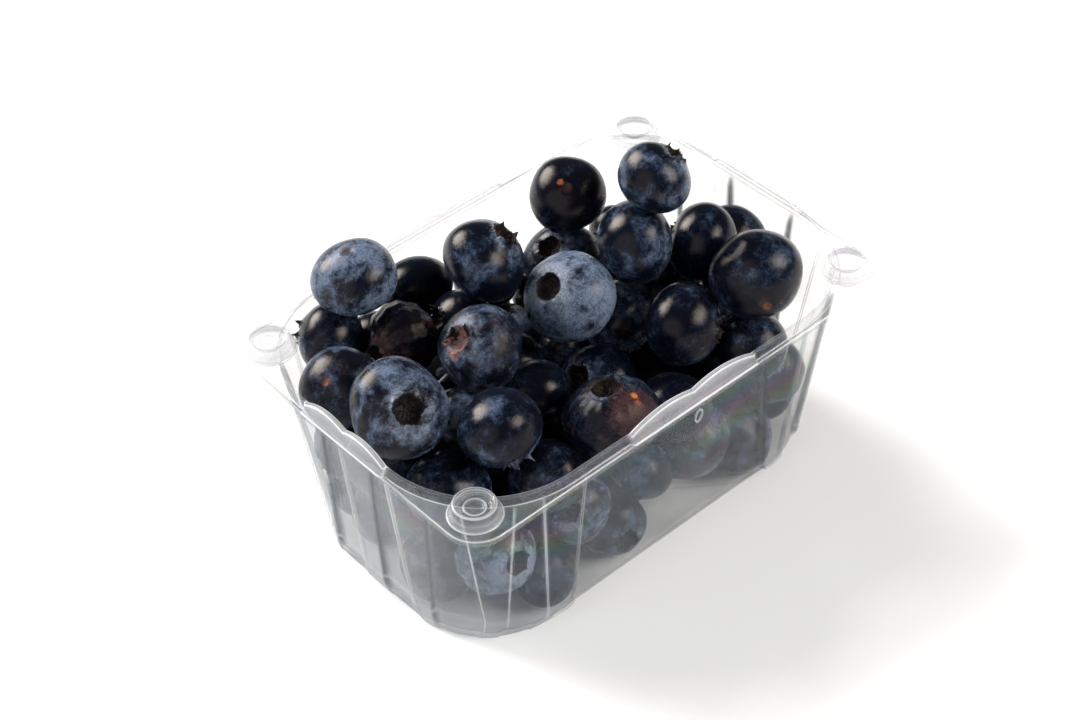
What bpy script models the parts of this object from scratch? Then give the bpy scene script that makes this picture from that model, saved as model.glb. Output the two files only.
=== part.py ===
"""A punnet of blueberries: a clear thermoformed tray, heaped with loose berries.

Metres, +Z up.  The origin is the middle of the flat base, X runs along the long
side of the tray and Y along the short side.
"""
import math

import bmesh
import bpy
import numpy as np
from mathutils import Matrix, Vector

# ---------------------------------------------------------------- tray sizes
OPENING_LENGTH = 0.1224        # inner top edge of the rim, along X
OPENING_WIDTH = 0.0817         # the same, along Y
OPENING_RADIUS = 0.0264        # its corner radius
RIM_HEIGHT = 0.0520            # top of the rim above the base
SHEET = 0.0006                 # thickness of the formed sheet
BASE_LENGTH = 0.1123           # flat base, where it rests
BASE_WIDTH = 0.0661
BASE_RADIUS = 0.0210
KNEE_LENGTH = 0.1146           # where the base bevel meets the drafted wall
KNEE_WIDTH = 0.0728
KNEE_RADIUS = 0.0265
KNEE_HEIGHT = 0.0065
FLANGE_LENGTH = 0.1270         # outer edge of the flange
FLANGE_WIDTH = 0.0863
FLANGE_RADIUS = 0.0080         # small, so that the corners widen into ledges
FLANGE_TOP = 0.0498
LIP_DROP = 0.0014              # down-turned edge of the flange
COLLAR = 0.0009                # width of the folded collar on top of the wall
FLOOR_TOP = 0.0008             # upper face of the base sheet

# Upright ribs in the walls, as distances along the rim from the middle of a
# short side: rib, groove, rib ... and last the flat panel of the long side.
RIB_EDGES = (0.0042, 0.0124, 0.0222, 0.0303, 0.0417, 0.0494, 0.0601)
RIB_STEP = 0.0009              # from the face of a groove to that of a rib
RIB_SLOPE = 0.0011             # width of a rib's slanted side

# Two-humped tabs in the middle of each side, standing up from the collar.
TAB_HALF_LONG = 0.0180
TAB_HALF_SHORT = 0.0130
TAB_RISE = 0.0023
TAB_PROUD = 0.0011             # the foot of a tab stands out from the collar

# Round stacking studs on the four corner ledges.
STUD_X = 0.0557
STUD_Y = 0.0348
STUD_FOOT_RADIUS = 0.0056
STUD_TOP_RADIUS = 0.0047
STUD_TOP = 0.0531
STUD_DISH_RADIUS = 0.0039
STUD_DISH_DEPTH = 0.0013
STUD_SIDES = 16
STUD_CLEARANCE = 0.0080        # added to the corner radius of what fills the opening

# --------------------------------------------------------------- berry sizes
BERRY_WIDE = 1.03              # across the waist, over the nominal size
BERRY_HIGH = 0.93              # from stem scar to crown
CROWN_SINK = 0.74              # depth of the crown's hollow, over the half height
CROWN_LIP = 1.03
BERRY_SIDES = 12
BERRY_RINGS = 7
BERRY_PRESS = 1.07             # every berry this much larger, so that they join
WALL_GAP = 0.0004              # clear space between the heap and the tray

# The berries that show, in millimetres and degrees: centre, size, and the way
# that the crown points, as heading and height.
SHOWN = (
    # along the top of the heap
    (-36.5, 27.5, 63.5, 18.8, 0, -85),
    (-10.0, 14.5, 61.0, 19.1, -36, 51),
    (15.0, 14.0, 66.0, 17.0, 45, -50),
    (24.2, -4.7, 76.5, 16.5, -25, 50),
    (18.5, -4.5, 61.0, 19.1, 140, -10),
    (0.5, -2.0, 54.0, 20.8, 177, 48),
    (33.0, -28.0, 57.5, 20.3, 56, -1),
    (35.0, -9.5, 54.5, 17.5, 125, 12),
    (-26.0, -2.5, 55.5, 19.0, 178, 47),
    (-49.5, -3.0, 53.5, 21.2, -109, 37),
    # level with the rim
    (-17.0, 31.5, 45.5, 16.6, -100, -34),
    (12.0, 13.5, 48.5, 17.8, -178, 60),
    (49.0, -4.5, 43.5, 17.5, 60, -10),
    (17.0, -21.5, 48.5, 18.3, -55, 2),
    (-17.0, 15.5, 45.0, 16.2, 160, 30),
    (-32.5, 17.0, 49.5, 17.0, -175, 2),
    (-42.7, 29.7, 48.0, 16.0, 120, 5),
    (-51.5, 16.0, 48.0, 17.7, 19, -52),
    (-35.5, -19.5, 50.0, 18.6, -95, -45),
    (-12.0, -29.0, 44.0, 20.5, 112, 82),
    # sunk between those
    (14.0, -4.0, 41.0, 17.6, -70, -30),
    (30.0, -29.6, 39.0, 18.5, -75, -40),
    (-27.0, 4.0, 33.5, 17.6, 120, 20),
    (-17.0, -9.5, 41.5, 16.9, -100, -50),
    (-1.0, -12.5, 35.5, 18.3, 177, 41),
    (5.0, -30.0, 36.5, 17.7, -110, -55),
    (-28.0, -26.5, 35.5, 17.2, -90, -50),
    (-46.0, -13.0, 34.0, 19.0, -130, -50),
    # against the front wall and the left wall
    (-42.5, -24.6, 20.0, 18.1, -91, 18),
    (-32.0, -27.9, 8.5, 15.5, 150, 10),
    (-21.0, -25.0, 20.5, 17.1, -136, 36),
    (-10.5, -27.6, 8.5, 15.5, -105, 5),
    (13.0, -27.5, 19.5, 19.6, 80, -20),
    (29.0, -27.5, 10.0, 18.2, 93, -27),
    (39.3, -27.0, 24.5, 17.5, 40, 10),
    (-48.3, 6.5, 15.5, 17.8, -60, -20),
    (-48.0, -11.0, 10.5, 18.7, 200, 15),
    (-48.3, 19.5, 25.5, 16.7, 170, -10),
    (-45.0, 20.5, 9.2, 14.6, 170, 20),
    (-30.5, 29.0, 39.5, 14.6, 40, -30),
)

# The berries that don't show, put wherever one fits, from the floor up.
HIDDEN_SIZES = (0.0166, 0.0148, 0.0132)     # smallest size of each of three passes
LARGEST = 0.0186
PRESS = 0.0005                 # neighbours dent each other by this much
SEARCH_STEP = 0.0015
FILL_TOP = 0.0465              # highest centre, over the middle of the tray
FILL_TILT = 0.15               # the fill rises towards the back
FILL_END = 0.30                # and falls away into the back right corner
LEFT_CORNER = (0.060, 0.024)   # nothing is further into the front left corner and higher
RIGHT_CORNER = (0.066, 0.034)  # the same at the front right

CORE_LEVEL = 0.0280            # below this the heap's solid is filled in
MOUND = ((0.0350, 0.009), (0.0410, 0.017), (0.0465, 0.024))     # height, inset


def clear_scene():
    for item in list(bpy.data.objects):
        bpy.data.objects.remove(item, do_unlink=True)


def material(name, colour, roughness):
    finish = bpy.data.materials.new(name)
    finish.use_nodes = True
    shader = finish.node_tree.nodes["Principled BSDF"]
    shader.inputs["Base Color"].default_value = (*colour, 1.0)
    shader.inputs["Roughness"].default_value = roughness
    shader.inputs["Metallic"].default_value = 0.0
    return finish


def new_object(name, mesh):
    item = bpy.data.objects.new(name, mesh)
    bpy.context.scene.collection.objects.link(item)
    return item


def helper(item):
    item.hide_render = True
    item.display_type = "WIRE"
    return item


def combine(item, other, operation, solver):
    change = item.modifiers.new(other.name, "BOOLEAN")
    change.operation = operation
    change.solver = solver
    change.object = other


# ------------------------------------------------------------- tray outlines
STRAIGHT_SHORT = OPENING_WIDTH / 2 - OPENING_RADIUS
CORNER_RUN = OPENING_RADIUS * math.pi / 2
STRAIGHT_LONG = OPENING_LENGTH / 2 - OPENING_RADIUS
QUARTER_RUN = STRAIGHT_SHORT + CORNER_RUN + STRAIGHT_LONG


def smooth(value):
    value = min(max(value, 0.0), 1.0)
    return value * value * (3 - 2 * value)


def rib(run):
    """1 on a rib and 0 in a groove, at a distance along the rim."""
    level = 1.0
    for number, edge in enumerate(RIB_EDGES):
        step = smooth((run - edge) / RIB_SLOPE + 0.5)
        level += -step if number % 2 == 0 else step
    return level


def tab(run):
    """0 away from a tab, and from 0 to 1 along its two humps."""
    for middle, half in ((0.0, TAB_HALF_SHORT), (QUARTER_RUN, TAB_HALF_LONG)):
        away = abs(run - middle) / half
        if away < 1:
            return math.sin(math.pi * away) ** 0.8
    return 0.0


def tab_foot(run):
    """1 in front of a tab and 0 elsewhere."""
    for middle, half in ((0.0, TAB_HALF_SHORT), (QUARTER_RUN, TAB_HALF_LONG)):
        if abs(run - middle) < half + 0.0002:
            return 1.0
    return 0.0


def stations():
    """Distances along a quarter of the rim at which every outline has a point."""
    runs = {0.0, STRAIGHT_SHORT, STRAIGHT_SHORT + CORNER_RUN, QUARTER_RUN}
    for edge in RIB_EDGES:
        runs.update((edge - RIB_SLOPE / 2, edge + RIB_SLOPE / 2))
    for step in range(1, 5):
        runs.add(TAB_HALF_SHORT * step / 4)
        runs.add(QUARTER_RUN - TAB_HALF_LONG * step / 4)
    runs.add(TAB_HALF_SHORT + 0.0006)
    runs.add(QUARTER_RUN - TAB_HALF_LONG - 0.0006)
    runs.add(STRAIGHT_SHORT + CORNER_RUN / 2)
    kept = [0.0]
    for run in sorted(runs):
        if run - kept[-1] > 0.00045:
            kept.append(run)
    kept[-1] = QUARTER_RUN
    return kept


STATIONS = stations()


def corner_point(run, length, width, radius, outward):
    """A point of the outline in the quarter at -X, -Y, moved outward."""
    if run <= STRAIGHT_SHORT:
        along = (width / 2 - radius) * run / STRAIGHT_SHORT
        return Vector((-length / 2 - outward, -along))
    if run <= STRAIGHT_SHORT + CORNER_RUN:
        turn = (run - STRAIGHT_SHORT) / OPENING_RADIUS
        reach = radius + outward
        return Vector((-(length / 2 - radius) - reach * math.cos(turn),
                       -(width / 2 - radius) - reach * math.sin(turn)))
    left = 1 - (run - STRAIGHT_SHORT - CORNER_RUN) / STRAIGHT_LONG
    return Vector((-(length / 2 - radius) * left, -width / 2 - outward))


def outline(length, width, radius, outward=None, height=None):
    """The closed outline, anticlockwise from above, as (x, y, z) points."""
    points = []
    for flip_x, flip_y, runs in ((1, 1, STATIONS[:-1]), (-1, 1, STATIONS[:0:-1]),
                                 (-1, -1, STATIONS[:-1]), (1, -1, STATIONS[:0:-1])):
        for run in runs:
            move = outward(run) if outward else 0.0
            place = corner_point(run, length, width, radius, move)
            level = height(run) if callable(height) else height
            points.append(Vector((flip_x * place.x, flip_y * place.y, level)))
    return points


def loft(mesh, rings):
    """Joins closed rings of equally many points, and closes both ends."""
    rows = [[mesh.verts.new(point) for point in ring] for ring in rings]
    count = len(rows[0])
    for low, high in zip(rows, rows[1:]):
        for this in range(count):
            after = (this + 1) % count
            mesh.faces.new((low[this], low[after], high[after], high[this]))
    mesh.faces.new(list(reversed(rows[0])))
    mesh.faces.new(rows[-1])


def wall_size(level, inset):
    """Length, width and radius of the wall, at a height and inside its outer face."""
    if level < KNEE_HEIGHT:
        share = math.sin(level / KNEE_HEIGHT * math.pi / 2)
        small = (BASE_LENGTH, BASE_WIDTH, BASE_RADIUS)
        large = (KNEE_LENGTH, KNEE_WIDTH, KNEE_RADIUS)
    else:
        share = (level - KNEE_HEIGHT) / (FLANGE_TOP - KNEE_HEIGHT)
        small = (KNEE_LENGTH, KNEE_WIDTH, KNEE_RADIUS)
        large = (OPENING_LENGTH + 2 * SHEET, OPENING_WIDTH + 2 * SHEET,
                 OPENING_RADIUS + SHEET)
    sizes = [a + (b - a) * share for a, b in zip(small, large)]
    return sizes[0] - 2 * inset, sizes[1] - 2 * inset, sizes[2] - inset


def wall_ring(level, inset, ribbed):
    return outline(*wall_size(level, inset),
                   outward=lambda run: (rib(run) - 0.5) * RIB_STEP * ribbed, height=level)


def make_tray(finish):
    def crest(level):
        return lambda run: level + TAB_RISE * tab(run)

    outer = (OPENING_LENGTH + 2 * COLLAR, OPENING_WIDTH + 2 * COLLAR,
             OPENING_RADIUS + COLLAR)
    opening = (OPENING_LENGTH, OPENING_WIDTH, OPENING_RADIUS)
    flange = (FLANGE_LENGTH, FLANGE_WIDTH, FLANGE_RADIUS)
    inside_lip = tuple(size - lip for size, lip in zip(flange, (0.0014, 0.0014, 0.0007)))
    flange_under = FLANGE_TOP - SHEET
    rings = [
        wall_ring(0.0, 0.0, 0.4),
        wall_ring(0.0025, 0.0, 0.8),
        wall_ring(KNEE_HEIGHT, 0.0, 1.0),
        wall_ring(0.0460, 0.0, 1.0),
        wall_ring(flange_under, 0.0, 0.5),
        outline(*inside_lip, height=flange_under),
        outline(*inside_lip, height=FLANGE_TOP - LIP_DROP),
        outline(*flange, height=FLANGE_TOP - LIP_DROP),
        outline(*flange, height=FLANGE_TOP),
        outline(*outer, outward=lambda run: TAB_PROUD * tab_foot(run),
                height=lambda run: FLANGE_TOP + 0.0003 * tab_foot(run)),
        outline(*outer, height=crest(RIM_HEIGHT)),
        outline(*opening, height=crest(RIM_HEIGHT)),
        wall_ring(FLANGE_TOP - 0.0004, SHEET, 0.0),
        wall_ring(0.0455, SHEET, 1.0),
        wall_ring(KNEE_HEIGHT + 0.0003, SHEET, 1.0),
        wall_ring(0.0028, SHEET, 0.8),
        wall_ring(FLOOR_TOP, 0.0010, 0.4),
    ]
    shape = bmesh.new()
    loft(shape, rings)
    mesh = bpy.data.meshes.new("tray")
    shape.to_mesh(mesh)
    shape.free()
    tray = new_object("tray", mesh)
    for side_x in (-1, 1):
        for side_y in (-1, 1):
            stud = make_stud(side_x, side_y)
            combine(tray, stud, "UNION", "EXACT")
    mesh.materials.append(finish)
    mesh.shade_smooth()
    mesh.set_sharp_from_angle(angle=math.radians(28))
    return tray


def make_stud(side_x, side_y):
    """A round button with a dished top, which stands on a corner ledge."""
    dish_foot = STUD_DISH_RADIUS * 0.9
    profile = ((0.0, FLANGE_TOP - SHEET * 0.7), (STUD_FOOT_RADIUS, FLANGE_TOP - SHEET * 0.7),
               (STUD_FOOT_RADIUS, FLANGE_TOP + 0.0003), (STUD_TOP_RADIUS, STUD_TOP - 0.0003),
               (STUD_TOP_RADIUS - 0.0003, STUD_TOP), (STUD_DISH_RADIUS, STUD_TOP),
               (dish_foot, STUD_TOP - STUD_DISH_DEPTH), (0.0, STUD_TOP - STUD_DISH_DEPTH))
    shape = bmesh.new()
    line = [shape.verts.new((radius, 0.0, level)) for radius, level in profile]
    edges = [shape.edges.new(pair) for pair in zip(line, line[1:])]
    bmesh.ops.spin(shape, geom=line + edges, cent=(0, 0, 0), axis=(0, 0, 1),
                   angle=2 * math.pi, steps=STUD_SIDES, use_merge=True)
    bmesh.ops.remove_doubles(shape, verts=shape.verts, dist=0.00001)
    bmesh.ops.recalc_face_normals(shape, faces=shape.faces)
    mesh = bpy.data.meshes.new("stud")
    shape.to_mesh(mesh)
    shape.free()
    name = "stud_" + ("right" if side_x > 0 else "left") + ("_back" if side_y > 0 else "_front")
    stud = new_object(name, mesh)
    stud.location = (side_x * STUD_X, side_y * STUD_Y, 0.0)
    return helper(stud)


# --------------------------------------------------------------- the berries
def room_in_tray(spots):
    """How far each spot is from the tray's walls and floor."""
    levels = np.clip(spots[:, 2], KNEE_HEIGHT, FLANGE_TOP)
    room = np.empty(len(spots))
    for level in np.unique(levels):
        here = levels == level
        length, width, radius = wall_size(level, SHEET + RIB_STEP / 2 + WALL_GAP)
        straight = np.array((length / 2 - radius, width / 2 - radius))
        out = np.abs(spots[here, :2]) - straight
        across = np.where(out.min(axis=1) > 0, np.hypot(*out.T), out.max(axis=1))
        room[here] = radius - across
    return np.minimum(room, spots[:, 2] - FLOOR_TOP - WALL_GAP)


def hidden_berries(places, sizes):
    """Fills the rest of the tray, lowest first, each berry touching others."""
    step = SEARCH_STEP
    spots = np.stack(np.meshgrid(np.arange(-0.056, 0.0561, step),
                                 np.arange(-0.038, 0.0381, step),
                                 np.arange(0.007, 0.052, step)), -1).reshape(-1, 3)
    x, y, z = spots.T
    top = np.minimum(FILL_TOP + FILL_TILT * y,
                     FILL_TOP - FILL_END * np.maximum(x + y - 0.020, 0))
    left = (-x - y > LEFT_CORNER[0]) & (z > LEFT_CORNER[1])
    right = (x - y > RIGHT_CORNER[0]) & (z > RIGHT_CORNER[1])
    spots = spots[(z < top) & ~left & ~right]
    room = room_in_tray(spots)
    for place, size in zip(places, sizes):
        room = np.minimum(room, np.linalg.norm(spots - place, axis=1) - size / 2 + PRESS)
    added = []
    for smallest in HIDDEN_SIZES:
        while room.max() > smallest / 2:
            fitting = np.flatnonzero(room > smallest / 2)
            best = fitting[np.argmin(spots[fitting, 2])]
            place, size = spots[best], min(2 * room[best], LARGEST)
            added.append((*place, size))
            gap = np.linalg.norm(spots - place, axis=1) - size / 2
            room = np.minimum(room, gap + PRESS)
    added = np.array(added)
    return added[:, :3], added[:, 3]


def make_berry(name, place, size, crown):
    """An oblate body with a crown: a raised lip round a hollow."""
    shape = bmesh.new()
    bmesh.ops.create_uvsphere(shape, u_segments=BERRY_SIDES, v_segments=BERRY_RINGS,
                              radius=size / 2)
    top = size / 2
    for vert in shape.verts:
        across = math.hypot(vert.co.x, vert.co.y) / top
        if vert.co.z > 0 and across < 0.01:
            vert.co.z *= CROWN_SINK
        elif vert.co.z > 0 and across < 0.45:
            vert.co.z *= CROWN_LIP
        vert.co = Vector((vert.co.x * BERRY_WIDE, vert.co.y * BERRY_WIDE,
                          vert.co.z * BERRY_HIGH))
    heading, height = (math.radians(angle) for angle in crown)
    aim = Vector((math.cos(heading) * math.cos(height),
                  math.sin(heading) * math.cos(height), math.sin(height)))
    turn = aim.to_track_quat("Z", "Y").to_matrix().to_4x4()
    shape.transform(Matrix.Translation(Vector(place)) @ turn)
    mesh = bpy.data.meshes.new(name)
    shape.to_mesh(mesh)
    shape.free()
    return mesh


def make_heap(finish):
    """The berries as one solid, filled in below, clear of the tray all round."""
    places = np.array([row[:3] for row in SHOWN]) / 1000
    sizes = np.array([row[3] for row in SHOWN]) / 1000
    crowns = [row[4:] for row in SHOWN]
    under, under_sizes = hidden_berries(places, sizes)
    places = np.vstack((places, under))
    sizes = np.append(sizes, under_sizes)
    crowns += [(60 * number, -30) for number in range(len(under))]

    inset = SHEET + RIB_STEP / 2 + WALL_GAP
    floor = FLOOR_TOP + WALL_GAP
    shape = bmesh.new()
    rings = [outline(*wall_size(level, inset), height=level)
             for level in (floor, 0.0030, KNEE_HEIGHT, CORE_LEVEL)]
    rings += [outline(*wall_size(level, inset + further), height=level)
              for level, further in MOUND]
    loft(shape, rings)
    mesh = bpy.data.meshes.new("berry_heap")
    shape.to_mesh(mesh)
    shape.free()
    heap = new_object("berry_heap", mesh)

    berries = []
    for number, (place, size, crown) in enumerate(zip(places, sizes, crowns)):
        if place[2] + size / 2 < CORE_LEVEL + 0.0010:
            continue
        name = "berry_%02d" % (number + 1)
        berry = new_object(name, make_berry(name, place, size * BERRY_PRESS, crown))
        combine(heap, helper(berry), "UNION", "MANIFOLD")
        berries.append(berry)

    space = bmesh.new()
    under_studs = FLANGE_TOP - 2 * SHEET
    levels = (floor, 0.0030, KNEE_HEIGHT, 0.0250, under_studs)
    rings = [outline(*wall_size(level, inset - 0.0001), height=level) for level in levels]
    rim = (OPENING_LENGTH - 3 * WALL_GAP, OPENING_WIDTH - 3 * WALL_GAP,
           OPENING_RADIUS + STUD_CLEARANCE)
    rings += [outline(*rim, height=level) for level in (under_studs + 0.0002, 0.1000)]
    loft(space, rings)
    limit_mesh = bpy.data.meshes.new("inside_of_tray")
    space.to_mesh(limit_mesh)
    space.free()
    limit = helper(new_object("inside_of_tray", limit_mesh))
    combine(heap, limit, "INTERSECT", "MANIFOLD")
    bpy.context.view_layer.update()
    graph = bpy.context.evaluated_depsgraph_get()
    solid = bpy.data.meshes.new_from_object(heap.evaluated_get(graph), depsgraph=graph)
    heap.modifiers.clear()
    for item in berries + [limit]:
        bpy.data.objects.remove(item, do_unlink=True)
    heap.data = outer_skin(solid)
    heap.data.name = "berry_heap"
    heap.data.materials.clear()
    heap.data.materials.append(finish)
    heap.data.shade_smooth()
    heap.data.set_sharp_from_angle(angle=math.radians(40))
    return heap


def outer_skin(mesh):
    """Drops the skins of hollows shut in between berries, which fills them."""
    shape = bmesh.new()
    shape.from_mesh(mesh)
    left = set(shape.verts)
    pieces = []
    while left:
        piece = {left.pop()}
        edge_of_piece = list(piece)
        while edge_of_piece:
            vert = edge_of_piece.pop()
            for edge in vert.link_edges:
                other = edge.other_vert(vert)
                if other in left:
                    left.discard(other)
                    piece.add(other)
                    edge_of_piece.append(other)
        pieces.append(piece)
    pieces.sort(key=len, reverse=True)
    loose = [vert for piece in pieces[1:] for vert in piece]
    bmesh.ops.delete(shape, geom=loose, context="VERTS")
    shape.to_mesh(mesh)
    shape.free()
    return mesh


clear_scene()
make_tray(material("clear plastic", (0.86, 0.89, 0.90), 0.08))
make_heap(material("berry skin", (0.030, 0.036, 0.070), 0.45))
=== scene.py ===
import math

import bmesh
import bpy
import numpy as np
from mathutils import Matrix, Vector


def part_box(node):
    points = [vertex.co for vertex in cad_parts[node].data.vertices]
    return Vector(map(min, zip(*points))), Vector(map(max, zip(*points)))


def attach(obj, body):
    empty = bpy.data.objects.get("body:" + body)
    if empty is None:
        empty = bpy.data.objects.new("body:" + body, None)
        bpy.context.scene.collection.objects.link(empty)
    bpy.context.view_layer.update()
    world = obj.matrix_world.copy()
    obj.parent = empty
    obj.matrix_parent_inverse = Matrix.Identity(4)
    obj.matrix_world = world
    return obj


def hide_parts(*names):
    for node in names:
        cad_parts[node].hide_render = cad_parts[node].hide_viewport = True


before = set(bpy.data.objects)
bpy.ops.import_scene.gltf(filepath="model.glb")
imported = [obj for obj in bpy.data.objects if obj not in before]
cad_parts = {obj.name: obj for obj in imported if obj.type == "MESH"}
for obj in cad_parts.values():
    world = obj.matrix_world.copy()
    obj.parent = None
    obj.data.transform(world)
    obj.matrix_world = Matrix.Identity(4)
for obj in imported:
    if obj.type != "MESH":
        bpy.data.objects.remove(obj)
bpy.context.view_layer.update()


# ---------------------------------------------------------------- the tray's sheet
# One piece of thin clear plastic sheet, heated and drawn into a mould: fluted walls,
# a folded collar round the opening, two-humped tabs in the middle of each side, and
# a flange that widens into a ledge at every corner.  Drawn thicker than it is.

# Its folds and edges carry painted highlight lines, its dark rib sides are painted shade, and its
# paler short ends are painted glare of the bright floor.
tray_low, tray_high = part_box("tray")
flange_length = tray_high.x - tray_low.x
flange_width = tray_high.y - tray_low.y
flange_radius = 0.0080
flange_top = 0.0498
lip_drop = 0.0014
rim_height = 0.0520
opening = np.array((0.1224, 0.0817, 0.0264))     # length, width, corner radius
knee = np.array((0.1146, 0.0728, 0.0265))
base = np.array((0.1123, 0.0661, 0.0210))
knee_height = 0.0065
sheet = 0.0006
collar = 0.0009
rib_step = 0.0012
rib_slope = 0.0011
shallow_rib = 0.4
rib_top = 0.0470
rib_bottom = 0.0060
tab_rise = 0.0023
tab_proud = 0.0011
short_tab = 0.0130
long_tab = 0.0180
station_gap = 0.0004
lip_width = 0.00028
flutes = {                       # each rib side: run at the top, at the bottom, and painted shade where below 0, painted highlight line where above 0
    (1, 1): ((7.6, 3.5, -1), (12.3, 17.0, 1), (23.5, 22.5, -1), (31.0, 34.5, 1),
             (43.0, 40.0, 1), (48.3, 48.7, 1), (60.0, 56.0, 1)),
    (1, -1): ((3.6, 7.0, 1), (9.2, 19.0, -1), (20.0, 22.5, 1), (31.0, 34.5, -1),
              (43.0, 40.0, 1), (48.3, 48.7, 1), (60.0, 56.0, 1)),
    (-1, 1): ((7.6, 3.5, 1), (12.3, 17.0, -1), (23.5, 22.5, 1), (31.0, 34.5, 1),
              (42.0, 41.5, -1), (54.0, 51.0, 1), (67.6, 57.5, -1)),
    (-1, -1): ((7.6, 3.5, -1), (12.3, 17.0, 0.8), (23.5, 22.5, -1), (31.0, 34.5, 1),
               (43.0, 40.0, 0.3), (48.3, 48.7, 0), (60.0, 56.0, 0.8))}

straight_short = opening[1] / 2 - opening[2]
straight_long = opening[0] / 2 - opening[2]
corner_run = opening[2] * math.pi / 2
quarter_run = straight_short + corner_run + straight_long

quarter = np.linspace(0, quarter_run, round(quarter_run / station_gap) + 1)
loop_run = np.concatenate((quarter[:-1], quarter[:0:-1], quarter[:-1], quarter[:0:-1]))
loop_side = np.repeat(((1, 1), (-1, 1), (-1, -1), (1, -1)), len(quarter) - 1, axis=0)


def smooth(value):
    value = np.clip(value, 0, 1)
    return value * value * (3 - 2 * value)


def slanted(level):
    """Where each station lies at a height, as the sides of the ribs lean."""
    share = np.clip((rib_top - level) / (rib_top - rib_bottom), 0, 1)
    run = loop_run.copy()
    for side, edges in flutes.items():
        here = (loop_side == side).all(axis=1)
        top, bottom = np.array(edges)[:, :2].T / 1000
        ends = (0.0, *top, quarter_run), (0.0, *(top + (bottom - top) * share), quarter_run)
        run[here] = np.interp(loop_run[here], *ends)
    return run


def outline(size, out=0.0, run=loop_run):
    """Points (x, y) of a rounded rectangle, at the stations, moved outward."""
    length, width, radius = size
    out = out * np.ones(len(run))
    turn = np.clip((run - straight_short) / opening[2], 0, math.pi / 2)
    left = 1 - np.clip((run - straight_short - corner_run) / straight_long, 0, 1)
    up = np.clip(run / straight_short, 0, 1)
    x = -(length / 2 - radius) * left - (radius + out) * np.cos(turn)
    y = -(width / 2 - radius) * up - (radius + out) * np.sin(turn)
    return np.stack((x, y), -1) * loop_side


def wall_size(level, inset):
    """Length, width and corner radius of the wall, at a height and inside its face."""
    level = np.asarray(level, float)[..., None]
    share = np.sin(np.clip(level / knee_height, 0, 1) * math.pi / 2)
    top = opening + np.array((2, 2, 1)) * sheet
    upper = knee + (top - knee) * (level - knee_height) / (flange_top - knee_height)
    size = np.where(level < knee_height, base + (knee - base) * share, upper)
    return size - np.array((2, 2, 1)) * inset


def ribs():
    """1 on a rib and 0 in a groove, the painted shade on the sides of the ribs, and the painted
    highlight lines along their lips.
    """
    level, dark, bright = np.ones(len(loop_run)), np.zeros(len(loop_run)), np.zeros(len(loop_run))
    for side, edges in flutes.items():
        here = (loop_side == side).all(axis=1)
        for number, (top, bottom, tone) in enumerate(edges):
            inward = number % 2 == 0
            step = smooth((loop_run[here] - top / 1000) / rib_slope + 0.5)
            deep = 1.0 if abs(tone) > 0.5 else shallow_rib
            level[here] += -step * deep if inward else step * deep
            lip = top / 1000 + rib_slope * (-0.45 if inward else 0.45)
            line = np.exp(-((loop_run[here] - lip) / lip_width) ** 2)
            # Painted shade on a rib side that faces away from the light, and a painted highlight
            # line along the lip of one that catches it.
            dark[here] += (4 * step * (1 - step)) ** 0.6 * (tone < 0)
            bright[here] += line * max(tone, 0)
    return level, dark, bright


def tab_shape(run, spread=0.0):
    """The two humps of a tab, from 0 to 1, and 1 along its foot."""
    humps, foot = np.zeros(len(run)), np.zeros(len(run))
    for middle, half in ((0.0, short_tab), (quarter_run, long_tab)):
        away = np.abs(run - middle) / half
        hump = np.sin(math.pi * (0.13 + 0.87 * np.clip(away, 0, 1))).clip(0, 1) ** 0.8
        humps = np.maximum(humps, np.where(away < 1, hump, 0))
        foot = np.maximum(foot, smooth((half + spread - np.abs(run - middle)) / 0.0006))
    return humps, foot


rib_level, rib_shade, rib_glint = ribs()
tab_humps, tab_foot = tab_shape(loop_run, 0.0009)
# Painted highlight lines where each tab's foot meets the collar.
tab_end_glint = 4 * tab_foot * (1 - tab_foot)
# A faint even haze, with painted glare on the short end walls for the bright floor they reflect.
haze_and_end_glare = 0.06 + 0.56 * smooth((0.040 - loop_run) / 0.022)


class Sheet:
    """Rings of points, stacked into a skin, with how much painted highlight line, painted shade,
    milkiness and painted glare each point carries.
    """

    def __init__(self):
        self.rings, self.edge, self.crease, self.milk = [], [], [], []

    def ring(self, points, height, edge=0.0, crease=0.0, milk=0.0):
        one = np.ones(len(points))
        self.rings.append(np.column_stack((points, height * one)))
        self.edge.append(edge * one)
        self.crease.append(crease * one)
        self.milk.append(milk * one)

    def wall(self, level, inset, ribbed=1.0, edge=0.0):
        out = (rib_level - 0.5) * rib_step * ribbed
        # Every wall ring carries the ribs' painted highlight lines and painted shade, and the
        # painted glare on the short ends.
        self.ring(outline(wall_size(level, inset), out, slanted(level)), level,
                  np.maximum(edge, rib_glint * ribbed * 0.65), rib_shade * ribbed, haze_and_end_glare)


skin = Sheet()
skin.ring(outline(wall_size(0.0, 0.0014), (rib_level - 0.5) * rib_step * 0.3), 0.0)
# The last number of each ring is a painted highlight line, along the bottom edge and the knee.
for level, ribbed, edge in ((0.0, 0.3, 0.3), (0.0008, 0.4, 0.0), (0.0020, 0.7, 0.0),
                            (0.0034, 0.9, 0.0), (0.0050, 1.0, 0.0), (0.0062, 1.0, 0.25),
                            (0.0068, 1.0, 0.1), (0.0080, 1.0, 0.0), (0.0160, 1.0, 0.0),
                            (0.0240, 1.0, 0.0), (0.0320, 1.0, 0.0), (0.0400, 1.0, 0.0),
                            (0.0460, 1.0, 0.0), (0.0480, 0.8, 0.0), (0.0489, 0.5, 0.0)):
    skin.wall(level, 0.0, ribbed, edge)
skin.ring(outline(wall_size(0.0492, 0.0), 0.0004), flange_top - sheet)
flange = np.array((flange_length, flange_width, flange_radius))
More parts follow.
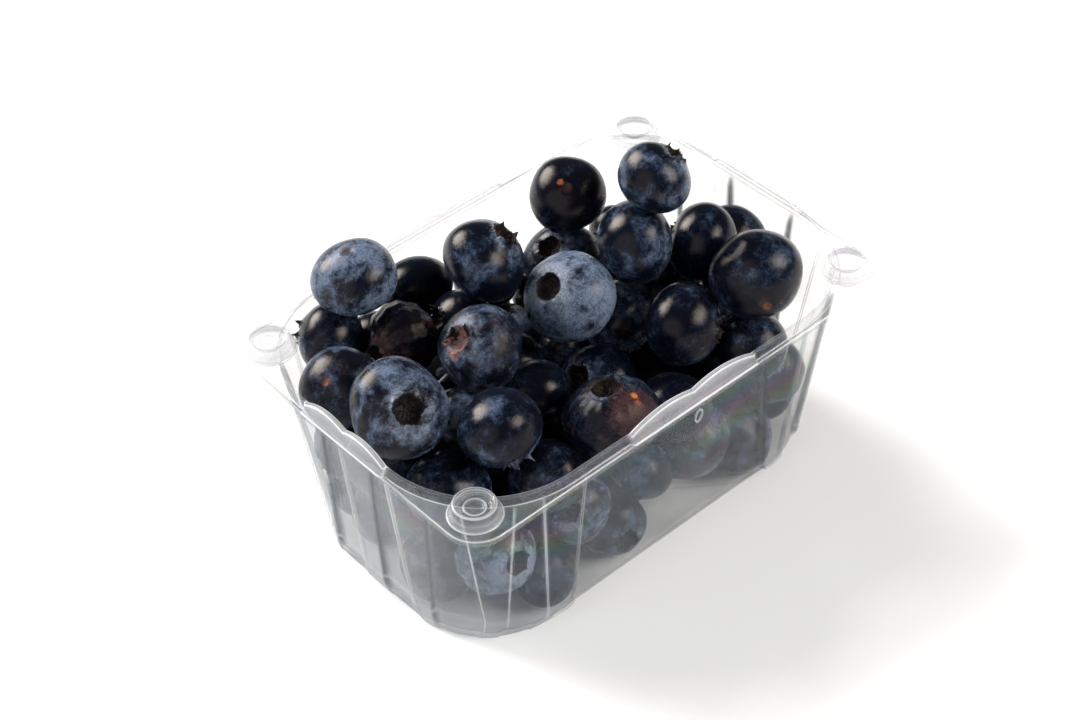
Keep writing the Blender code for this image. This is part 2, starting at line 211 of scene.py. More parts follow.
# Painted highlight lines along the flange's lip and its outer crest.
for inset, height, edge in ((0.0016, flange_top - sheet, 0.0), (0.0009, flange_top - 0.0008, 0.0),
                            (0.0007, flange_top - lip_drop + 0.0001, 0.0),
                            (0.0004, flange_top - lip_drop, 0.15),
                            (0.0000, flange_top - lip_drop + 0.0002, 0.1),
                            (0.0000, flange_top - 0.0006, 0.1), (0.0003, flange_top - 0.0001, 0.8),
                            (0.0006, flange_top, 0.1), (0.0010, flange_top, 0.0)):
    skin.ring(outline(flange - np.array((2, 2, 1)) * inset), height, edge)
proud = tab_proud * tab_foot
milk = 0.15 + 0.85 * tab_foot
# A painted highlight line along the collar's outer fold, and at the ends of the tabs.
for out, height, edge in ((0.0007, 0.0, 0.0), (0.0004, 0.0001, 0.7), (0.0001, 0.0003, 0.0),
                          (0.0, 0.0009, 0.0)):
    skin.ring(outline(opening, collar + out + proud), flange_top + height + 0.0002 * tab_foot,
              np.maximum(edge, 0.8 * tab_end_glint), milk=milk)
crest = tab_rise * tab_humps
# Painted highlight lines along the rim's crest, and over the whole fold on the tabs.
for out, height, edge, on_tab in ((1.0, -0.0012, 0.0, 0.0), (0.97, -0.0005, 0.0, 0.1),
                                  (0.88, -0.0001, 0.2, 0.9), (0.74, 0.0, 0.0, 0.0),
                                  (0.30, 0.0, 0.0, 0.0), (0.14, -0.0001, 0.8, 0.9),
                                  (0.0, -0.0004, 0.0, 0.1)):
    edge = np.maximum(edge + (on_tab - edge) * tab_foot, 0.8 * tab_end_glint)
    skin.ring(outline(opening, (collar + proud * 0.55) * out), rim_height + height + crest,
              edge, milk=milk)
skin.ring(outline(opening), 0.0508, milk=milk)
for level, ribbed in ((0.0490, 0.3), (0.0470, 0.8), (0.0440, 1.0), (0.0400, 1.0), (0.0320, 1.0),
                      (0.0240, 1.0), (0.0160, 1.0), (0.0080, 1.0), (0.0066, 1.0),
                      (0.0050, 1.0), (0.0036, 0.9), (0.0024, 0.7), (0.0014, 0.4)):
    skin.wall(level, sheet, ribbed)
skin.ring(outline(wall_size(0.0008, 0.0022)), 0.0008)

count = len(loop_run)
rows = len(skin.rings)
places = np.arange(rows * count).reshape(rows, count)
after = np.roll(places, -1, axis=1)
sides = np.stack((places[:-1], after[:-1], after[1:], places[1:]), -1).reshape(-1, 4)
faces = sides.tolist() + [places[0, ::-1].tolist(), places[-1].tolist()]


def new_piece(name, points, faces, **values):
    """A smooth mesh object, with a number for each point under each name."""
    mesh = bpy.data.meshes.new(name)
    mesh.from_pydata(np.asarray(points).tolist(), [], faces)
    for key, numbers in values.items():
        layer = mesh.attributes.new(key, "FLOAT", "POINT")
        layer.data.foreach_set("value", np.asarray(numbers, np.float32).ravel())
    mesh.shade_smooth()
    piece = bpy.data.objects.new(name, mesh)
    bpy.context.scene.collection.objects.link(piece)
    return piece


class Wire:
    """A value inside a material, so that masks are written as sums."""

    def __init__(self, paint, socket):
        self.paint, self.socket = paint, socket

    def math(self, operation, *values):
        return self.paint.node("ShaderNodeMath", {"operation": operation},
                               dict(enumerate(values)))

    def __add__(self, other):
        return self.math("ADD", self, other)

    def __sub__(self, other):
        return self.math("SUBTRACT", self, other)

    def __mul__(self, other):
        return self.math("MULTIPLY", self, other)

    def __pow__(self, other):
        return self.math("POWER", self, other)

    __radd__ = __add__

    def ramp(self, low, high):
        """0 below low, 1 above high, and a smooth step between."""
        return self.paint.node("ShaderNodeMapRange", {"interpolation_type": "SMOOTHSTEP"},
                               {0: self, 1: low, 2: high})

    def mix(self, low, high):
        """A colour from low, where this is 0, to high, where it is 1."""
        return self.paint.node("ShaderNodeMix", {"data_type": "RGBA"},
                               {0: self, 6: low, 7: high}, 2)


class Paint:
    """A material with one Principled shader, and the nodes that feed it."""

    def __init__(self, name):
        self.material = bpy.data.materials.new(name)
        self.material.use_nodes = True
        self.tree = self.material.node_tree
        self.shader = self.tree.nodes["Principled BSDF"]

    def node(self, kind, settings=None, inputs=None, output=0):
        made = self.tree.nodes.new(kind)
        for name, value in (settings or {}).items():
            setattr(made, name, value)
        for key, value in (inputs or {}).items():
            self.feed(made.inputs[key], value)
        return Wire(self, made.outputs[output])

    def feed(self, socket, value):
        if isinstance(value, Wire):
            self.tree.links.new(value.socket, socket)
        elif hasattr(value, "__len__") and len(value) == 3 and socket.type == "RGBA":
            socket.default_value = (*value, 1.0)
        else:
            socket.default_value = value

    def value(self, name):
        """A number that the mesh carries at each of its points."""
        return self.node("ShaderNodeAttribute", {"attribute_name": name}, output=2)

    def place(self):
        return self.node("ShaderNodeTexCoord", output=3)

    def split(self):
        apart = self.node("ShaderNodeSeparateXYZ", {}, {0: self.place()})
        return [Wire(self, socket) for socket in apart.socket.node.outputs]

    def noise(self, scale, detail=3.0, roughness=0.5, distortion=0.0, at=None):
        return self.node("ShaderNodeTexNoise", {},
                         {"Vector": at or self.place(), "Scale": scale, "Detail": detail,
                          "Roughness": roughness, "Distortion": distortion})

    def skin(self, **inputs):
        for name, value in inputs.items():
            self.feed(self.shader.inputs[name.replace("_", " ")], value)
        return self.material


def clear_plastic():
    """Clear and a little hazy, with painted highlight lines at its edges and folds, painted shade on
    its rib sides, painted glare on its short ends, milky tabs, and faint stress colours.
    """
    paint = Paint("clear plastic")
    edge, crease, milk = paint.value("edge"), paint.value("crease"), paint.value("milk")
    facing = paint.node("ShaderNodeLayerWeight", {}, {"Blend": 0.35}, 1)
    haze = paint.noise(60, 3, 0.6).ramp(0.35, 0.75)
    x, y, z = paint.split()
    drift = paint.noise(24, 1, 0.5)
    order = z * 480 + x.math("MINIMUM", x + 0.034, 0.0) * 90 + drift * 3.5
    red, green, blue = (order.math("SINE", order + turn) * 0.5 + 0.5
                        for turn in (1.9, 4.0, 6.1))
    rainbow = paint.node("ShaderNodeCombineColor", {}, {0: red * 0.7, 1: green * 0.7, 2: blue * 0.7})
    stress = paint.noise(32, 1, 0.5, 0.5).ramp(0.42, 0.66) * z.ramp(0.016, 0.034) * 0.17
    warm = paint.noise(16, 1, 0.5).ramp(0.45, 0.65) * 0.35
    tint = stress.mix(warm.mix((0.19, 0.225, 0.26), (0.26, 0.25, 0.225)), rainbow)
    # Milky on the tabs and studs, and painted glare of the bright floor on the short ends.
    tint = (milk * 0.8).mix(tint, (0.66, 0.68, 0.71))
    # Painted shade: the dark sides of the ribs.
    tint = crease.mix(tint, (0.060, 0.075, 0.090))
    # Painted highlight: near-white lines along edges and folds.
    tint = edge.mix(tint, (0.92, 0.94, 0.96))
    # The sheet is less clear where it is milky, and where glare, shade and highlight lines are
    # painted.
    cover = 0.075 + haze * 0.06 + facing ** 3.0 * 0.26 + milk * 0.20 + crease * 0.62
    cover = cover + edge * 0.50
    return paint.skin(Base_Color=tint, Alpha=cover, Roughness=0.12, IOR=1.5)


plastic = clear_plastic()
tray = new_piece("tray_sheet", np.concatenate(skin.rings), faces,
                 edge=np.concatenate(skin.edge), crease=np.concatenate(skin.crease),
                 milk=np.concatenate(skin.milk))
tray.data.materials.append(plastic)
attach(tray, "root")
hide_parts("tray")


# ------------------------------------------------------------- the stacking studs
# A round hollow button on each corner ledge, drawn up out of the same sheet, which
# the tray above stands on.  Its top is dished, with one plain raised ring.

stud_x = 0.0557
stud_y = 0.0348
stud_sides = 64
stud_profile = (                 # radius, height over the ledge, painted highlight line, milkiness
    (0.0062, 0.0000, 0.0, 0.0), (0.0059, 0.0001, 0.8, 0.2), (0.0057, 0.0004, 0.3, 0.4),
    (0.0055, 0.0010, 0.0, 0.4), (0.0052, 0.0014, 0.4, 0.3), (0.0050, 0.0017, 0.1, 0.2),
    (0.0048, 0.0028, 0.0, 0.1), (0.0047, 0.0031, 0.7, 0.2), (0.0045, 0.0033, 0.5, 0.3),
    (0.0042, 0.0033, 0.1, 0.3), (0.0040, 0.0031, 0.5, 0.2), (0.0038, 0.0024, 0.0, 0.2),
    (0.0036, 0.0020, 0.4, 0.2), (0.0032, 0.0019, 0.0, 0.1), (0.0027, 0.0019, 0.0, 0.1),
    (0.0025, 0.0021, 0.6, 0.2), (0.0022, 0.0021, 0.5, 0.2), (0.0020, 0.0019, 0.0, 0.1),
    (0.0008, 0.0018, 0.0, 0.1))
stud_thick = 0.0003


def stud_skin():
    """The outside of the buttons, then the inside, joined at the foot and closed on top."""
    turn = np.linspace(0, 2 * math.pi, stud_sides, endpoint=False)
    circle = np.stack((np.cos(turn), np.sin(turn)), -1)
    inner = [(max(r - stud_thick, 0.0004), h - stud_thick, e * 0.3, m)
             for r, h, e, m in stud_profile]
    rows = inner[::-1] + list(stud_profile)
    ring = np.array([[(*(circle[i] * r), flange_top + h) for i in range(stud_sides)]
                     for r, h, e, m in rows])
    number = np.arange(len(rows) * stud_sides).reshape(len(rows), stud_sides)
    after = np.roll(number, -1, axis=1)
    faces = np.stack((number[:-1], after[:-1], after[1:], number[1:]), -1).reshape(-1, 4)
    faces = faces.tolist() + [number[0, ::-1].tolist(), number[-1].tolist()]
    edge = np.repeat([row[2] for row in rows], stud_sides)
    milk = np.repeat([row[3] for row in rows], stud_sides)
    return ring.reshape(-1, 3), faces, edge, milk


stud_points, stud_faces, stud_glint, stud_milk = stud_skin()
all_points, all_faces = [], []
for side_x in (-1, 1):
    for side_y in (-1, 1):
        start = len(all_points) * len(stud_points)
        all_faces += [[start + corner for corner in face] for face in stud_faces]
        all_points.append(stud_points + (side_x * stud_x, side_y * stud_y, 0.0))
stud_total = 4 * len(stud_points)

# A small oval ring is pressed into the long front wall, just right of its middle.
oval_x = 0.0037
oval_z = 0.0418
oval_wide = 0.0010
oval_tall = 0.0019
oval_thick = 0.00028
oval_long = 48                   # points round the ring
oval_round = 8                   # points round its thickness
oval_total = oval_long * oval_round
oval_turn = np.linspace(0, 2 * math.pi, oval_long, endpoint=False)
oval_rings = []
for turn in np.linspace(0, 2 * math.pi, oval_round, endpoint=False):
    grow, rise = oval_thick * math.cos(turn), oval_thick * math.sin(turn)
    height = oval_z + (oval_tall + grow) * np.sin(oval_turn)
    lean = (wall_size(oval_z, 0)[1] - wall_size(oval_z - 0.01, 0)[1]) / 0.02
    wall_y = wall_size(oval_z, 0)[1] / 2 - rib_step / 2 + lean * (height - oval_z)
    oval_rings.append(np.stack((oval_x + (oval_wide + grow) * np.cos(oval_turn),
                                -wall_y - rise, height), -1))
number = stud_total + np.arange(oval_total).reshape(oval_round, oval_long)
across, along_oval = np.roll(number, -1, axis=0), np.roll(number, -1, axis=1)
both = np.roll(across, -1, axis=1)
all_faces += np.stack((number, across, both, along_oval), -1).reshape(-1, 4).tolist()
all_points.append(np.concatenate(oval_rings))
# The studs' rings and the whole oval carry painted highlight lines.
studs = new_piece("corner_studs", np.concatenate(all_points), all_faces,
                  edge=np.concatenate((np.tile(stud_glint, 4), np.full(oval_total, 0.30))),
                  milk=np.concatenate((np.tile(stud_milk, 4), np.full(oval_total, 0.5))),
                  crease=np.zeros(stud_total + oval_total))
studs.data.materials.append(plastic)
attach(studs, "root")
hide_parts("tray")


# --------------------------------------------------------- where the berries lie
# Loose blueberries, poured in and heaped up.  The ones that show are listed one by
# one: centre and size in millimetres, then where the crown points, as heading and
# height in degrees, then how much powdery bloom is left on the skin.

on_top = (
    (-36.5, 27.5, 63.5, 18.8, 0, -85, 0.82),
    (-10.0, 14.5, 61.0, 19.1, -36, 51, 0.45),
    (15.0, 14.0, 66.0, 17.0, 45, -50, 0.18),
    (24.2, -4.7, 76.5, 16.5, -25, 50, 0.50),
    (18.5, -4.5, 61.0, 19.1, 140, -10, 0.45),
    (0.5, -2.0, 54.0, 20.8, 177, 48, 0.95),
    (33.0, -28.0, 57.5, 20.3, 56, -1, 0.32),
    (35.0, -9.5, 54.5, 17.5, 125, 12, 0.20),
    (-49.5, -3.0, 53.5, 21.2, -109, 37, 0.68),
    (-17.0, 31.5, 45.5, 16.6, -100, -34, 0.15),
    (12.0, 13.5, 48.5, 17.8, -178, 60, 0.45),
    (49.0, -4.5, 43.5, 17.5, 60, -10, 0.42),
    (17.0, -21.5, 48.5, 18.3, -55, 2, 0.30),
    (-17.0, 15.5, 45.0, 16.2, 160, 30, 0.15),
    (-42.7, 29.7, 48.0, 16.0, 120, 5, 0.35),
    (-51.5, 16.0, 48.0, 17.7, 19, -52, 0.50),
    (-35.5, -19.5, 50.0, 18.6, -95, -45, 0.35),
)
lower_down = (
    (14.0, -4.0, 41.0, 17.6, -70, -30, 0.45),
    (30.0, -29.6, 39.0, 18.5, -75, -40, 0.42),
    (-27.0, 4.0, 33.5, 17.6, 120, 20, 0.15),
    (-17.0, -9.5, 41.5, 16.9, -100, -50, 0.20),
    (-1.0, -12.5, 35.5, 18.3, 177, 41, 0.30),
    (5.0, -30.0, 36.5, 17.7, -110, -55, 0.30),
    (-28.0, -26.5, 35.5, 17.2, -90, -50, 0.35),
    (-46.0, -13.0, 34.0, 19.0, -130, -50, 0.35),
    (-42.5, -24.6, 20.0, 18.1, -91, 18, 1.00),
    (-32.0, -27.9, 8.5, 15.5, 150, 10, 0.40),
    (-21.0, -25.0, 20.5, 17.1, -136, 36, 0.70),
    (-10.5, -27.6, 8.5, 15.5, -105, 5, 0.45),
    (13.0, -27.5, 19.5, 19.6, 80, -20, 0.70),
    (29.0, -27.5, 10.0, 18.2, 93, -27, 0.50),
    (39.3, -27.0, 24.5, 17.5, 40, 10, 0.40),
    (-48.3, 6.5, 15.5, 17.8, -60, -20, 0.40),
    (-48.0, -11.0, 10.5, 18.7, 200, 15, 0.50),
    (-48.3, 19.5, 25.5, 16.7, 170, -10, 0.45),
    (-45.0, 20.5, 9.2, 14.6, 170, 20, 0.45),
    (-30.5, 29.0, 39.5, 14.6, 40, -30, 0.10),
)
worn = (
    (-26.0, -2.5, 55.5, 19.0, 178, 47, 0.52),
    (-32.5, 17.0, 49.5, 17.0, -175, 2, 0.15),
    (-12.0, -29.0, 44.0, 20.5, 112, 82, 0.30),
)
hidden_sizes = (0.0166, 0.0148, 0.0132)          # smallest of each of three passes
largest_hidden = 0.0186
press = 0.0005
search_step = 0.0015
fill_top = 0.0465
fill_tilt = 0.15
fill_end = 0.30
left_corner = (0.060, 0.024)
right_corner = (0.066, 0.034)
wall_gap = 0.00025
floor_top = 0.0008


def room_in_tray(spots, gap, lowest=knee_height):
    """How far each spot is from the inside of the walls, and which way is inward."""
    size = wall_size(np.clip(spots[:, 2], lowest, flange_top), sheet + rib_step / 2 + gap)
    length, width, radius = size.T
    out = np.abs(spots[:, :2]) - np.stack((length / 2 - radius, width / 2 - radius), -1)
    in_corner = out.min(axis=1) > 0
    across = np.where(in_corner, np.hypot(*out.T), out.max(axis=1))
    flat = np.stack((out[:, 0] >= out[:, 1], out[:, 0] < out[:, 1]), -1)
    away = np.where(in_corner[:, None], out / np.maximum(across, 1e-6)[:, None], flat)
    return radius - across, -away * np.sign(spots[:, :2])


def hidden_berries(shown):
    """Berries for the rest of the tray, lowest first, each touching others."""
    step = search_step
    spots = np.stack(np.meshgrid(np.arange(-0.056, 0.0561, step),
                                 np.arange(-0.038, 0.0381, step),
                                 np.arange(0.007, 0.052, step)), -1).reshape(-1, 3)
    x, y, z = spots.T
    top = np.minimum(fill_top + fill_tilt * y,
                     fill_top - fill_end * np.maximum(x + y - 0.020, 0))
    left = (-x - y > left_corner[0]) & (z > left_corner[1])
    right = (x - y > right_corner[0]) & (z > right_corner[1])
    spots = spots[(z < top) & ~left & ~right]
    room = np.minimum(room_in_tray(spots, wall_gap)[0], spots[:, 2] - floor_top - wall_gap)
    for row in shown:
        gap = np.linalg.norm(spots - row[:3], axis=1) - row[3] / 2
        room = np.minimum(room, gap + press)
    added = []
    for smallest in hidden_sizes:
        while room.max() > smallest / 2:
            fitting = np.flatnonzero(room > smallest / 2)
            best = fitting[np.argmin(spots[fitting, 2])]
            place, size = spots[best], min(2 * room[best], largest_hidden)
            number = len(added)
            heading = 77 * number % 360
            tip = 31 * number % 150 - 75
            bloom = 0.25 + 0.5 * (number * 0.618 % 1)
            added.append((*place, size, heading, tip, bloom))
            gap = np.linalg.norm(spots - place, axis=1) - size / 2
            room = np.minimum(room, gap + press)
    return np.array(added)


scale = np.array((0.001, 0.001, 0.001, 0.001, 1, 1, 1))
on_top, lower_down, worn = (np.array(rows) * scale for rows in (on_top, lower_down, worn))
out_of_sight = hidden_berries(np.concatenate((on_top, lower_down, worn)))


# ------------------------------------------------------------------- ripe berries
# A squat round berry with a dark waxy skin under a powdery bloom.  One end has the
# crown, five ragged sepals round a hollow, and the other the scar of the stem.

crown_rows = (                   # radius and height over the berry's half size, lobe
    (0.00, 0.680, 0.0), (0.055, 0.682, 0.0), (0.11, 0.690, 0.0), (0.16, 0.710, 0.0),
    (0.205, 0.752, 0.0), (0.240, 0.810, 0.1), (0.262, 0.870, 0.3), (0.280, 0.920, 0.7),
    (0.295, 0.962, 1.0), (0.311, 0.968, 1.0), (0.326, 0.952, 0.7), (0.345, 0.942, 0.3),
    (0.365, 0.930, 0.1))
half_height = 0.90
same_point = 1e-6                # each end of a berry is a ring of points in one place


def berry_points(around, along, place, size, heading, tip, seed, wear=0.0):
    """Points of one berry, and how near each one is to the crown and to the scar."""
    turn = np.linspace(0, 2 * math.pi, around, endpoint=False)[None]
    radius, height, lobe = (np.array(row)[:, None] for row in zip(*crown_rows))
    start = math.asin(radius[-1, 0])
    angle = start + (math.pi - start) * np.arange(1, along + 1)[:, None] / along
    dip = 0.045 * smooth((angle - (math.pi - 0.17)) / 0.12)
    ridge = 0.010 * np.exp(-((angle - (math.pi - 0.19)) / 0.05) ** 2)
    radius = np.concatenate((radius, np.sin(angle)))
    height = np.concatenate((height, np.cos(angle) + dip - ridge))
    lobe = np.concatenate((lobe, 0 * angle))

    draw = np.random.default_rng(seed)
    phase = draw.uniform(0, 2 * math.pi, 8)
    petal = (turn / (2 * math.pi) * 5 + phase[0]) % 5
    point = (1 - np.abs(petal % 1 * 2 - 1)) ** 0.8
    grown = draw.uniform(0.35, 1.25, 5)[petal.astype(int)]
    torn = 0.30 * np.cos(11 * turn + phase[1]) + 0.22 * np.cos(23 * turn + phase[2])
    reach = lobe * (point * grown * (1 + torn) - 0.30)
    lopsided = 1 + 0.12 * (radius < 0.37) * (height > 0) * np.cos(turn + phase[3])
    r = radius * (1 + draw.uniform(0.14, 0.32) * reach) * lopsided
    z = height + draw.uniform(0.09, 0.20) * reach
    lumps = (np.cos(9 * turn + 40 * radius + phase[4]) * 0.020
             + np.cos(5 * turn - 23 * radius + phase[5]) * 0.025)
    z = z + lumps * ((radius < 0.25) & (height > 0)) * smooth(radius / 0.1)
    x, y = r * np.cos(turn), r * np.sin(turn)
    body = np.clip(smooth((radius - 0.33) / 0.3) + (height < 0), 0, 1)
    for wave in range(4):
        way = draw.normal(size=3)
        way /= np.linalg.norm(way)
        along_way = (x * way[0] + y * way[1] + z * way[2]) * draw.uniform(1.6, 3.6)
        swell = 1 + draw.uniform(0.010, 0.028) * np.cos(along_way + phase[wave]) * body
        x, y, z = x * swell, y * swell, z * swell
    ribbing = 1 + 0.012 * np.cos(5 * turn + phase[6]) * body
    x, y = x * ribbing * 1.035, y * ribbing * 1.035 * draw.uniform(0.95, 1.0)
    z = z * half_height * draw.uniform(0.95, 1.04)
    if wear:
        folds = np.cos(11 * turn + 5 * z + phase[7]) * np.cos(4 * turn - 9 * z)
        shrink = 1 - wear * 0.030 * (0.6 + folds * smooth(radius / 0.2)) * body
        x, y, z = x * shrink, y * shrink, z * (shrink - 0.03 * wear)
    one = np.ones_like(x)
    crown = smooth((0.72 - radius) / 0.30) * (height > 0) * one
    hollow = smooth((0.325 - radius) / 0.035) * (height > 0) * one
    scar = smooth((0.15 - radius) / 0.05) * (height < 0) * one
    points = np.stack((x, y, z), -1).reshape(-1, 3) * size / 2
    aim = Vector((math.cos(heading) * math.cos(tip), math.sin(heading) * math.cos(tip),
                  math.sin(tip)))
    spin = Matrix.Rotation(phase[7], 3, "Z")
    turned = np.array(aim.to_track_quat("Z", "Y").to_matrix() @ spin)
    return points @ turned.T + place, crown.ravel(), hollow.ravel(), scar.ravel()


def press_in(points):
    """Flattens a berry where it would come through the wall or the floor."""
    points[:, 2] = np.maximum(points[:, 2], floor_top + 0.0001)
    room, inward = room_in_tray(points, 0.0002, 0.0)
    over = np.where(points[:, 2] < rim_height + 0.002, np.maximum(-room, 0), 0)
    points[:, :2] += inward * over[:, None]
    return points


def berries(name, rows, around, along, seed, marks=(), wear=(0.0,)):
    """One mesh of many berries, each with its own bloom and tone, and its marks."""
    points, faces = [], []
    masks = {key: [] for key in ("crown", "hollow", "scar", "bloom", "tone", "red", "brown",
                                  "flesh")}
    rings = len(crown_rows) + along
    number = np.arange(rings * around).reshape(rings, around)
    after = np.roll(number, -1, axis=1)
    skin = np.stack((number[:-1], number[1:], after[1:], after[:-1]), -1).reshape(-1, 4)
    draw = np.random.default_rng(seed)
    for index, (x, y, z, size, heading, tip, bloom) in enumerate(rows):
        made, crown, hollow, scar = berry_points(
            around, along, (x, y, z), size, math.radians(heading), math.radians(tip),
            seed * 100 + index, wear[index % len(wear)])
        ways = (made - (x, y, z)) / np.linalg.norm(made - (x, y, z), axis=1)[:, None]
        spots = {key: np.zeros(len(made)) for key in ("red", "brown", "flesh")}
        for berry, kind, mark_heading, mark_tip, wide, deep in marks:
            if berry == index:
                east, up = math.radians(mark_heading), math.radians(mark_tip)
                way = (math.cos(east) * math.cos(up), math.sin(east) * math.cos(up),
                       math.sin(up))
                off = np.degrees(np.arccos(np.clip(ways @ way, -1, 1)))
                spots[kind] = np.maximum(spots[kind], deep * smooth(1.4 - off / wide))
        start = len(points) * len(made)
        points.append(press_in(made))
        faces += (skin + start).tolist()
        for key, value in (("crown", crown), ("hollow", hollow), ("scar", scar),
                           ("bloom", bloom * np.ones(len(made))),
                           ("tone", draw.uniform() * np.ones(len(made))), *spots.items()):
            masks[key].append(value)
    values = {key: np.concatenate(lists) for key, lists in masks.items()}
    piece = new_piece(name, np.concatenate(points), faces, **values)
    closed = bmesh.new()
    closed.from_mesh(piece.data)
    bmesh.ops.remove_doubles(closed, verts=closed.verts, dist=same_point)
    closed.to_mesh(piece.data)
    closed.free()
    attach(piece, "root")
    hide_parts("berry_heap")
    return piece


def berry_skin(name, wear=0.0):
    """Near-black skin, with bloom in patches that is rubbed off here and there."""
    paint = Paint(name)
    bloom, tone = paint.value("bloom"), paint.value("tone")
    crown, hollow, scar = paint.value("crown"), paint.value("hollow"), paint.value("scar")
    clouds = paint.noise(130, 2, 0.5, 0.3)
    mottle = paint.noise(420, 8, 0.74, 0.25)
    flecks = paint.noise(1500, 4, 0.7)
    grain = paint.noise(3000, 2, 0.70)
    powder = clouds * 1.7 + mottle * 2.1 + bloom * 0.75 + crown * 0.15 - 1.40
    cover = powder.ramp(0.78, 1.50) * (0.45 + grain.ramp(0.34, 0.62) * 0.55)
    cover = cover * 0.96 + bloom * 0.02
    dark = tone.mix((0.0010, 0.0019, 0.0056), (0.0024, 0.0020, 0.0046))
    pale = bloom.mix((0.028, 0.056, 0.115), (0.150, 0.195, 0.280))
    pale = (crown * bloom * 0.8).mix(pale, (0.250, 0.290, 0.360))
    streaks = paint.noise(1000, 5, 0.72, 0.6).ramp(0.42, 0.64)
    film = streaks * clouds.ramp(0.38, 0.62) * bloom.ramp(0.05, 0.50) * 0.9
    skin = cover.mix(film.mix(dark, (0.013, 0.025, 0.054)), pale)
    # The crown's hollow: dry brown sepal flecks, darkened near black as painted shade in the recess.
    bark_and_shade = flecks.ramp(0.46, 0.76).mix((0.0025, 0.0018, 0.0018), (0.050, 0.028, 0.021))
    skin = (hollow * 0.97).mix(skin, bark_and_shade)
    skin = (scar * 0.7).mix(skin, (0.030, 0.018, 0.014))
    brown = (paint.value("brown") * (0.10 + flecks * 1.2)).ramp(0.35, 0.70)
    skin = (brown * 0.85).mix(skin, (0.055, 0.026, 0.028))
    red = (paint.value("red") * (0.20 + flecks * 1.3)).ramp(0.42, 0.78)
    sore = paint.value("red").ramp(0.85, 1.0).mix((0.17, 0.055, 0.030), (0.45, 0.18, 0.050))
    skin = (red * 0.85).mix(skin, sore)
    torn = (paint.value("flesh") * (0.20 + flecks * 1.4)).ramp(0.50, 0.85)
    skin = (torn * 0.9).mix(skin, mottle.ramp(0.42, 0.60).mix((0.36, 0.16, 0.13),
                                                           (0.16, 0.20, 0.24)))
    if wear:
        tan = paint.noise(300, 3, 0.6).ramp(0.55, 0.72) * wear
        skin = (tan * 0.4).mix(skin, (0.060, 0.026, 0.028))
    bump = paint.node("ShaderNodeBump", {}, {"Strength": 0.22 + 0.30 * wear, "Distance": 0.0004,
                                             "Height": mottle + grain * 0.25})
    rough = 0.08 + mottle * 0.14 + cover * 0.22 + hollow * 0.3
    return paint.skin(Base_Color=skin, Roughness=rough, Normal=bump, IOR=1.45,
                      Specular_IOR_Level=0.18, Specular_Tint=(1.0, 0.88, 0.78),
                      Sheen_Weight=0.03, Sheen_Roughness=0.35, Sheen_Tint=(0.45, 0.65, 1.0))


top_marks = (                    # berry, kind, heading, height, degrees wide, depth
    (0, "red", 116, 77, 7, 0.8), (0, "brown", -128, 66, 22, 0.5), (0, "red", -14, 66, 4, 0.4),
    (2, "red", -157, 59, 9, 0.9), (2, "red", -148, 44, 7, 0.6), (2, "red", -136, 32, 7, 0.45),
    (6, "red", -120, -8, 9, 0.8), (6, "red", -100, -6, 6, 0.7),
    (15, "red", -154, 50, 11, 0.8), (15, "brown", -120, 75, 30, 0.6))
ripe = berry_skin("ripe skin")
for name, rows, around, along, seed, marks in (
        ("berries_on_top", on_top, 88, 46, 3, top_marks),
        ("berries_lower_down", lower_down, 72, 42, 5, ()),
        ("berries_underneath", out_of_sight, 40, 26, 8, ())):
    berries(name, rows, around, along, seed, marks).data.materials.append(ripe)


# ------------------------------------------------------------------- worn berries
# Three of the same berries past their best: one with a torn crown that shows pale
# flesh, one shrivelled, and one that is brown on one side with an orange flaw.

worn_skin = berry_skin("worn skin", 1.0)
worn_marks = (
    (0, "flesh", 177, 41, 22, 1.0), (0, "flesh", 160, 55, 12, 0.9),
    (0, "flesh", -175, 25, 14, 0.9), (1, "brown", -170, 25, 35, 0.9),
    (1, "red", -150, 14, 14, 0.5), (2, "brown", -89, 40, 50, 0.9),
    (2, "red", -65, 58, 8, 1.0), (2, "red", -76, 50, 6, 0.9))
worn_piece = berries("berries_worn", worn, 110, 64, 12, worn_marks, (0.1, 1.0, 0.55))
worn_piece.data.materials.append(worn_skin)


# ---------------------------------------------------------- the middle of the heap
# The dark between the berries, deep in the tray, where light hardly reaches, is painted shade:
# one plain near-black lump, which stays behind the berries on every side.

lump_rings = ((0.0100, 0.016), (0.0130, 0.012), (0.0250, 0.011), (0.0290, 0.013),
              (0.0310, 0.017), (0.0320, 0.023))            # height, inset
lump_skip = 6                    # the lump uses one station in so many
around = len(loop_run[::lump_skip])
lump_points = np.concatenate([
    np.column_stack((outline(wall_size(level, inset))[::lump_skip], np.full(around, level)))
    for level, inset in lump_rings])
number = np.arange(len(lump_points)).reshape(len(lump_rings), around)
after = np.roll(number, -1, axis=1)
lump_faces = np.stack((number[:-1], after[:-1], after[1:], number[1:]), -1)
lump_faces = lump_faces.reshape(-1, 4).tolist()
lump_faces += [number[0, ::-1].tolist(), number[-1].tolist()]
lump = new_piece("heap_shade_core", lump_points, lump_faces)
# Painted shade: a near-black, dull material.
shade = Paint("painted shade between the berries")
lump.data.materials.append(shade.skin(Base_Color=(0.003, 0.003, 0.004), Roughness=0.9,
                                      Specular_IOR_Level=0.05))
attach(lump, "root")
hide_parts("berry_heap")


# ------------------------------------------------------------- floor, light, camera
# A plain pale floor under three far-off soft boxes, one behind, one in front and a
# wide weak one on the left, with an even pale room around them.

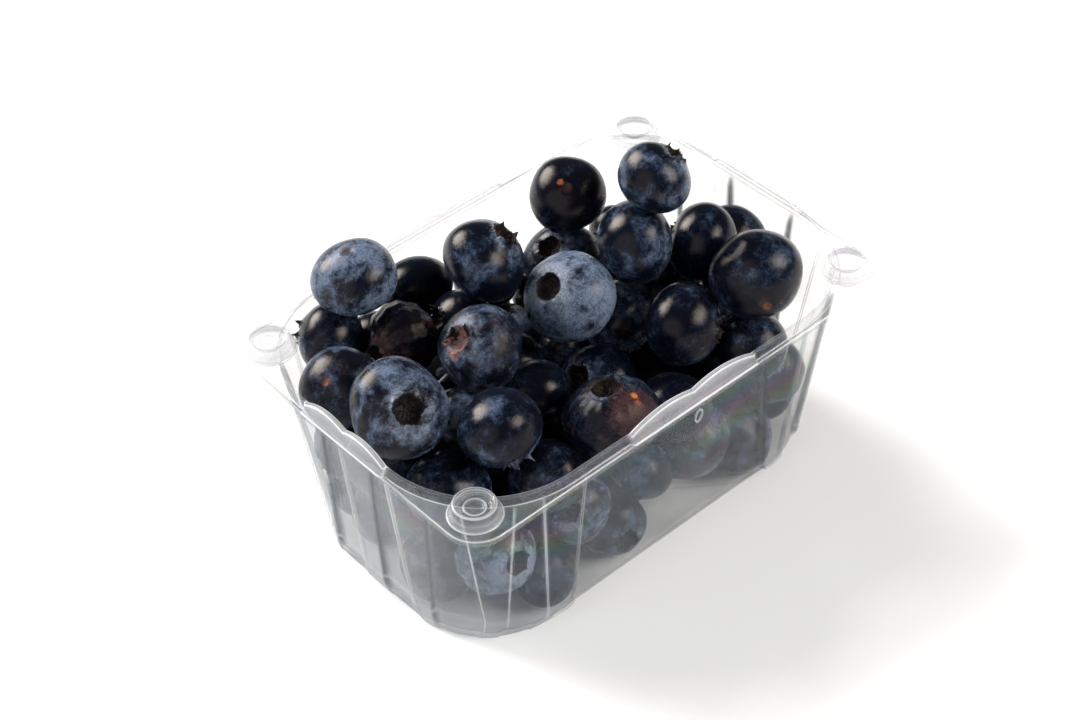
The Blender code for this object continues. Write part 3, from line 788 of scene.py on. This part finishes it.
floor_mesh = bpy.data.meshes.new("floor")
floor_half = 3
floor_drop = 0.0002              # just under the tray, so that the two don't flicker
floor_corners = [(x * floor_half, y * floor_half, 0)
                 for x, y in ((-1, -1), (1, -1), (1, 1), (-1, 1))]
floor_mesh.from_pydata(floor_corners, [], [(0, 1, 2, 3)])
floor = bpy.data.objects.new("floor", floor_mesh)
floor.location.z = -floor_drop
bpy.context.scene.collection.objects.link(floor)
floor_mesh.materials.append(Paint("pale floor").skin(Base_Color=(0.88, 0.895, 0.91),
                                                     Roughness=0.7))

room = bpy.data.worlds.new("pale room")
room.use_nodes = True
room.node_tree.nodes["Background"].inputs["Color"].default_value = (0.93, 0.96, 1.0, 1)
room.node_tree.nodes["Background"].inputs["Strength"].default_value = 0.14
bpy.context.scene.world = room


def soft_box(name, toward, width, strength, colour):
    """A far-off round soft light, as many degrees wide as it is seen from the tray."""
    lamp = bpy.data.lights.new(name, "SUN")
    lamp.angle = math.radians(width)
    lamp.energy = strength
    lamp.color = colour
    lamp_object = bpy.data.objects.new(name, lamp)
    lamp_object.rotation_euler = Vector(toward).to_track_quat("Z", "Y").to_euler()
    bpy.context.scene.collection.objects.link(lamp_object)


soft_box("soft_box_behind", (-0.22, 0.88, 0.55), 34, 6.6, (1.0, 0.95, 0.90))
soft_box("soft_box_front", (0.45, -0.69, 0.60), 30, 3.2, (1.0, 0.95, 0.89))
soft_box("wide_soft_box_left", (-0.90, -0.20, 0.40), 70, 1.3, (0.93, 0.96, 1.0))

camera_data = bpy.data.cameras.new("camera")
camera_data.lens = 77.2
camera = bpy.data.objects.new("camera", camera_data)
bpy.context.scene.collection.objects.link(camera)
camera_heading = math.radians(-40.5)
camera_height = math.radians(42.6)
camera_roll = math.radians(-2.11)
camera_distance = 0.5525
camera_target = Vector((0.0067, 0.0161, 0.0190))
camera_back = Vector((math.sin(camera_heading) * math.cos(camera_height),
                      -math.cos(camera_heading) * math.cos(camera_height),
                      math.sin(camera_height)))
camera.location = camera_target + camera_back * camera_distance
camera.rotation_euler = (camera_back.to_track_quat("Z", "Y").to_matrix()
                         @ Matrix.Rotation(camera_roll, 3, "Z")).to_euler()
bpy.context.scene.camera = camera
bpy.context.scene.view_settings.view_transform = "Standard"
